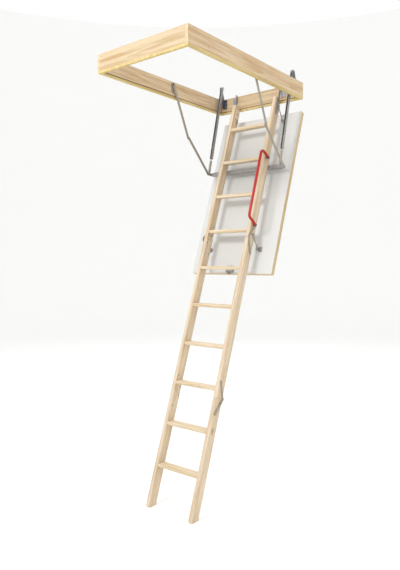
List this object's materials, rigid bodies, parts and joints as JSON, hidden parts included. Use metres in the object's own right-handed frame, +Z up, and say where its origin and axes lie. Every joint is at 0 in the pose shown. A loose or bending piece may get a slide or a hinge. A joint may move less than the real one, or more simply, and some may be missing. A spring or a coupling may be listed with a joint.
{
  "type": "folding attic ladder",
  "caption": "Folding timber attic ladder in a boxed hatch frame, with sprung arms, folding side stays, a counterbalanced white hatch and a red handrail, shown open.",
  "frame": {"origin": "middle of the hatch frame's opening in the ceiling plane, which is the underside of the frame", "axes": "+X from the hinge end to the free end, +Y to the handrail's side, +Z up; stored open"},
  "size_m": [1.2926, 0.7, 2.8511],
  "materials": {
    "frame_pine": "planed pine",
    "lip_wood": "planed pine strip",
    "gasket_rubber": "brown foam rubber",
    "hatch_white": "white coated fibreboard",
    "hatch_foam": null,
    "hatch_batten": "planed pine",
    "stile_wood": "planed pine",
    "tread_wood": "planed pine",
    "plate_steel": "blue-grey zinc",
    "handrail_red": "red powder coat",
    "spring_steel": "spring wire",
    "zinc_steel": "yellow-grey zinc",
    "dark_steel": "dark grey coat"
  },
  "bodies": {
    "frame": {"wall_left": "frame_pine", "wall_right": "frame_pine", "wall_hinge_end": "frame_pine", "wall_free_end": "frame_pine", "corner_screws": "zinc_steel", "bottom_lip": "lip_wood", "hatch_gasket": "gasket_rubber", "strike_plate": "zinc_steel", "hinge_bracket_left": "plate_steel", "hinge_bracket_right": "plate_steel", "arm_bracket_left": "dark_steel", "arm_bracket_right": "dark_steel", "stay_bracket_left": "zinc_steel", "stay_bracket_right": "zinc_steel", "frame_pins": "zinc_steel"},
    "ladder_top": {"stile_top_left": "stile_wood", "stile_top_right": "stile_wood", "tread_1": "tread_wood", "tread_2": "tread_wood", "tread_3": "tread_wood", "tread_4": "tread_wood", "top_strap_left": "dark_steel", "top_strap_right": "dark_steel", "crossbar": "dark_steel", "crossbar_lug_left": "dark_steel", "crossbar_lug_right": "dark_steel", "link_pins": "zinc_steel", "handrail": "handrail_red", "handrail_spacers": "zinc_steel", "upper_hinge_leaf_above": "dark_steel", "bolts_top": "zinc_steel"},
    "ladder_middle": {"stile_middle_left": "stile_wood", "stile_middle_right": "stile_wood", "tread_5": "tread_wood", "tread_6": "tread_wood", "tread_7": "tread_wood", "tread_8": "tread_wood", "upper_hinge_leaf_below": "dark_steel", "lower_hinge_leaf_above": "dark_steel", "bolts_middle": "zinc_steel"},
    "ladder_bottom": {"stile_bottom_left": "stile_wood", "stile_bottom_right": "stile_wood", "tread_9": "tread_wood", "tread_10": "tread_wood", "lower_hinge_leaf_below": "dark_steel", "bolts_bottom": "zinc_steel"},
    "hatch": {"hatch_skin_inner": "hatch_white", "hatch_skin_outer": "hatch_white", "hatch_edge_frame": "hatch_batten", "hatch_core": "hatch_foam", "hatch_link_brackets": "dark_steel", "latch_case": "dark_steel"},
    "latch_bolt": {"latch_bolt": "zinc_steel"},
    "upper_links": {"upper_hatch_links": "dark_steel"},
    "lower_links": {"lower_hatch_links": "dark_steel"},
    "upper_stays": {"upper_stays": "zinc_steel"},
    "lower_stays": {"lower_stays": "zinc_steel"},
    "spring_arms": {"spring_arms": "dark_steel", "arm_springs": "spring_steel"},
    "spring_rods": {"spring_rods": "dark_steel"}
  },
  "joints": [
    {"name": "ladder_fold", "type": "hinge", "parent": "frame", "child": "ladder_top", "pos_m": [-0.593, 0, 0.114], "axis": [0, -1, 0], "range_deg": [0, 63]},
    {"name": "upper_link_swing", "type": "hinge", "parent": "ladder_top", "child": "upper_links", "pos_m": [-0.56077, 0, -0.03226], "axis": [0, -1, 0], "range_deg": [-104.05, 0]},
    {"name": "hatch_swing", "type": "hinge", "parent": "frame", "child": "hatch", "pos_m": [-0.69285, 0, 0.00442], "axis": [0, -1, 0], "range_deg": [0, 63]},
    {"name": "lower_link_swing", "type": "hinge", "parent": "ladder_top", "child": "lower_links", "pos_m": [-0.23717, 0, -0.94104], "axis": [0, -1, 0], "range_deg": [-104.05, 0]},
    {"name": "upper_stay_swing", "type": "hinge", "parent": "frame", "child": "upper_stays", "pos_m": [-0.03, 0, 0.092], "axis": [0, -1, 0], "range_deg": [0, 102.82]},
    {"name": "lower_stay_swing", "type": "hinge", "parent": "ladder_top", "child": "lower_stays", "pos_m": [-0.40694, 0, -0.47321], "axis": [0, -1, 0], "range_deg": [-108.02, 0]},
    {"name": "arm_swing", "type": "hinge", "parent": "frame", "child": "spring_arms", "pos_m": [-0.558, 0, 0.181], "axis": [0, -1, 0], "range_deg": [0, 60.77]},
    {"name": "rod_slide", "type": "slide", "parent": "spring_arms", "child": "spring_rods", "axis": [0.2427, 0, -0.9701], "range_m": [-0.07515, 0], "deforming": ["arm_springs"]},
    {"name": "middle_fold", "type": "hinge", "parent": "ladder_top", "child": "ladder_middle", "pos_m": [-0.18727, 0, -0.95299], "axis": [0, -1, 0], "range_deg": [0, 180]},
    {"name": "bottom_fold", "type": "hinge", "parent": "ladder_middle", "child": "ladder_bottom", "pos_m": [0.10193, 0, -1.97681], "axis": [0, 1, 0], "range_deg": [0, 180]},
    {"name": "latch_slide", "type": "slide", "parent": "hatch", "child": "latch_bolt", "axis": [-0.3355, 0, 0.9421], "range_m": [0, 0.01], "stiffness_N_per_m": 500, "springref_m": -0.01}
  ],
  "couplings": [
    {"joint": "upper_link_swing", "follows": "ladder_fold", "ratio": -1.6517},
    {"joint": "hatch_swing", "follows": "ladder_fold", "ratio": 1},
    {"joint": "lower_link_swing", "follows": "ladder_fold", "ratio": -1.6517},
    {"joint": "upper_stay_swing", "follows": "ladder_fold", "ratio": 1.6321},
    {"joint": "lower_stay_swing", "follows": "ladder_fold", "ratio": -1.7146},
    {"joint": "arm_swing", "follows": "ladder_fold", "ratio": 0.96453},
    {"joint": "rod_slide", "follows": "ladder_fold", "m_per_rad": -0.068342}
  ]
}
